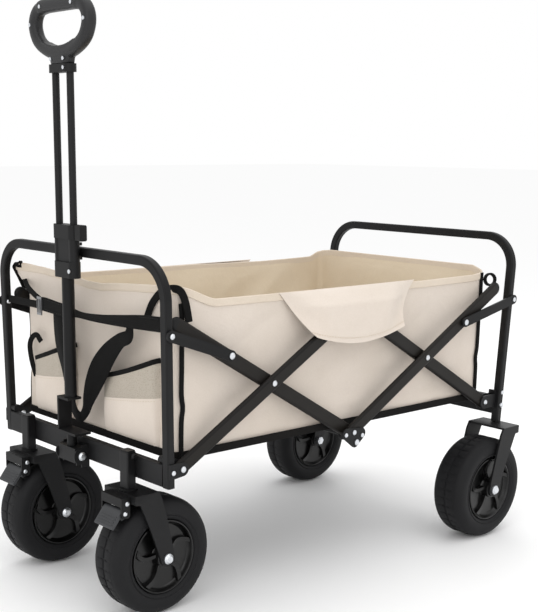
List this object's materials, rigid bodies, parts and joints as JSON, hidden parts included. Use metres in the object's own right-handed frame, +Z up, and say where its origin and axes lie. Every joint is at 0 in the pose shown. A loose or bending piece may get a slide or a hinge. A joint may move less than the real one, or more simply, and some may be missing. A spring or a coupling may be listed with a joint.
{
  "type": "folding camping wagon",
  "caption": "Folding pull wagon with a scissor-sided steel frame, open fabric basket, wide wheels, swivel front casters with brakes and a telescoping pull handle.",
  "frame": {"origin": "on the ground under the middle of the scissor frame", "axes": "+X towards the pull handle, +Y to the cart's left seen from behind, +Z up"},
  "size_m": [0.9505, 0.585, 0.9909],
  "materials": {
    "powder": "satin black powder coat",
    "arm_steel": "satin powder coat, dark graphite",
    "zinc": "bright zinc plated",
    "wheel_tyre": "matt PU tread",
    "wheel_rim": "glossy black moulding",
    "moulded": "matt black moulding",
    "grip_grey": "dark grey moulding",
    "pedal_grey": "mid grey moulding",
    "canvas": "beige woven polyester",
    "base_cloth": "black coated fabric",
    "webbing": "black webbing",
    "buckle": "cast slider"
  },
  "bodies": {
    "front_frame": {"front_hoop": "powder", "front_crossbar": "powder", "caster_posts": "powder", "front_brackets": "powder", "front_bolts": "zinc", "handle_clevis": "powder", "front_webbing": "webbing", "webbing_buckle": "buckle", "closure_strap": "webbing"},
    "arm_a1": {"arms_front_lower": "arm_steel", "rivets_front": "zinc"},
    "arm_a2": {"arms_front_upper": "arm_steel", "front_tips": "moulded"},
    "centre": {"centre_bracket": "powder", "centre_bolts": "zinc"},
    "arm_b1": {"arms_rear_upper": "arm_steel", "rear_tips": "moulded", "rivets_rear": "zinc"},
    "arm_b2": {"arms_rear_lower": "arm_steel"},
    "rear_frame": {"rear_hoop": "powder", "rear_crossbar": "powder", "rear_brackets": "powder", "rear_fork_left": "powder", "rear_fork_right": "powder", "rear_axles": "zinc", "rear_bolts": "zinc"},
    "link_front": {"front_links": "powder"},
    "link_rear": {"rear_links": "powder"},
    "wheel_rl": {"rear_tyre_left": "wheel_tyre", "rear_rim_left": "wheel_rim"},
    "wheel_rr": {"rear_tyre_right": "wheel_tyre", "rear_rim_right": "wheel_rim"},
    "caster_l": {"caster_fork_left": "powder", "caster_axle_left": "zinc", "brake_housing_left": "moulded"},
    "caster_r": {"caster_fork_right": "powder", "caster_axle_right": "zinc", "brake_housing_right": "moulded"},
    "pedal_l": {"brake_pedal_left": "pedal_grey"},
    "pedal_r": {"brake_pedal_right": "pedal_grey"},
    "wheel_fl": {"front_tyre_left": "wheel_tyre", "front_rim_left": "wheel_rim"},
    "wheel_fr": {"front_tyre_right": "wheel_tyre", "front_rim_right": "wheel_rim"},
    "handle": {"handle_tube": "powder", "handle_head": "moulded", "handle_screws": "zinc"},
    "button": {"lock_button": "moulded"},
    "grip": {"grip_rods": "powder", "grip_collar": "moulded", "grip_ring": "grip_grey", "grip_screws": "zinc"},
    "basket": {"basket_left": "canvas", "basket_right": "canvas", "basket_front": "canvas", "basket_rear": "canvas", "basket_floor": "base_cloth", "basket_pockets": "canvas", "corner_hoods": "webbing"}
  },
  "joints": [
    {"name": "fold", "type": "hinge", "parent": "front_frame", "child": "arm_a1", "pos_m": [0.39, 0, 0.267], "axis": [0, 1, 0], "range_deg": [0, 46]},
    {"name": "cross_front", "type": "hinge", "parent": "arm_a1", "child": "arm_a2", "pos_m": [0.195, 0, 0.38], "axis": [0, 1, 0], "range_deg": [-92, 0]},
    {"name": "centre_pivot", "type": "hinge", "parent": "arm_a2", "child": "centre", "pos_m": [0, 0, 0.267], "axis": [0, 1, 0], "range_deg": [0, 46]},
    {"name": "centre_rear_pivot", "type": "hinge", "parent": "centre", "child": "arm_b1", "pos_m": [0, 0, 0.267], "axis": [0, 1, 0], "range_deg": [0, 46]},
    {"name": "cross_rear", "type": "hinge", "parent": "arm_b1", "child": "arm_b2", "pos_m": [-0.195, 0, 0.38], "axis": [0, 1, 0], "range_deg": [-92, 0]},
    {"name": "rear_pivot", "type": "hinge", "parent": "arm_b2", "child": "rear_frame", "pos_m": [-0.39, 0, 0.267], "axis": [0, 1, 0], "range_deg": [0, 46]},
    {"name": "basket_lift", "type": "slide", "parent": "centre", "child": "basket", "axis": [0, 0, 1], "range_m": [0, 0.21309], "deforming": ["basket_left", "basket_right", "basket_front", "basket_rear", "basket_floor", "basket_pockets", "corner_hoods"]},
    {"name": "link_front_pivot", "type": "hinge", "parent": "front_frame", "child": "link_front", "pos_m": [0.41687, 0, 0.48101], "axis": [0, 1, 0], "range_deg": [0, 86]},
    {"name": "link_rear_pivot", "type": "hinge", "parent": "rear_frame", "child": "link_rear", "pos_m": [-0.44174, 0, 0.4704], "axis": [0, 1, 0], "range_deg": [-72, 0]},
    {"name": "rear_wheel_left_spin", "type": "hinge", "parent": "rear_frame", "child": "wheel_rl", "pos_m": [-0.3735, 0.243, 0.1], "axis": [0, 1, 0], "continuous": true},
    {"name": "rear_wheel_right_spin", "type": "hinge", "parent": "rear_frame", "child": "wheel_rr", "pos_m": [-0.3735, -0.243, 0.1], "axis": [0, 1, 0], "continuous": true},
    {"name": "caster_left_swivel", "type": "hinge", "parent": "front_frame", "child": "caster_l", "pos_m": [0.427, 0.1525, 0.222], "axis": [0, 0, 1], "continuous": true},
    {"name": "caster_right_swivel", "type": "hinge", "parent": "front_frame", "child": "caster_r", "pos_m": [0.427, -0.1525, 0.222], "axis": [0, 0, 1], "continuous": true},
    {"name": "front_wheel_left_spin", "type": "hinge", "parent": "caster_l", "child": "wheel_fl", "pos_m": [0.377, 0.1525, 0.1], "axis": [0, 1, 0], "continuous": true},
    {"name": "front_wheel_right_spin", "type": "hinge", "parent": "caster_r", "child": "wheel_fr", "pos_m": [0.377, -0.1525, 0.1], "axis": [0, 1, 0], "continuous": true},
    {"name": "brake_left_press", "type": "hinge", "parent": "caster_l", "child": "pedal_l", "pos_m": [0.453, 0.1525, 0.188], "axis": [0, 1, 0], "range_deg": [0, 20]},
    {"name": "brake_right_press", "type": "hinge", "parent": "caster_r", "child": "pedal_r", "pos_m": [0.453, -0.1525, 0.188], "axis": [0, 1, 0], "range_deg": [0, 20]},
    {"name": "handle_tilt", "type": "hinge", "parent": "front_frame", "child": "handle", "pos_m": [0.4335, 0, 0.247], "axis": [0, 1, 0], "range_deg": [0, 85]},
    {"name": "grip_slide", "type": "slide", "parent": "handle", "child": "grip", "axis": [0.014, 0, 0.9999], "range_m": [-0.2, 0]},
    {"name": "lock_press", "type": "slide", "parent": "handle", "child": "button", "axis": [0, -1, 0], "range_m": [0, 0.0025], "stiffness_N_per_m": 400}
  ],
  "couplings": [
    {"joint": "cross_front", "follows": "fold", "ratio": -2},
    {"joint": "centre_pivot", "follows": "fold", "ratio": 1},
    {"joint": "centre_rear_pivot", "follows": "fold", "ratio": 1},
    {"joint": "cross_rear", "follows": "fold", "ratio": -2},
    {"joint": "rear_pivot", "follows": "fold", "ratio": 1},
    {"joint": "basket_lift", "follows": "fold", "m_per_rad": 0.2648},
    {"joint": "link_front_pivot", "follows": "fold", "ratio": 1.8491},
    {"joint": "link_rear_pivot", "follows": "fold", "ratio": -1.5445}
  ]
}
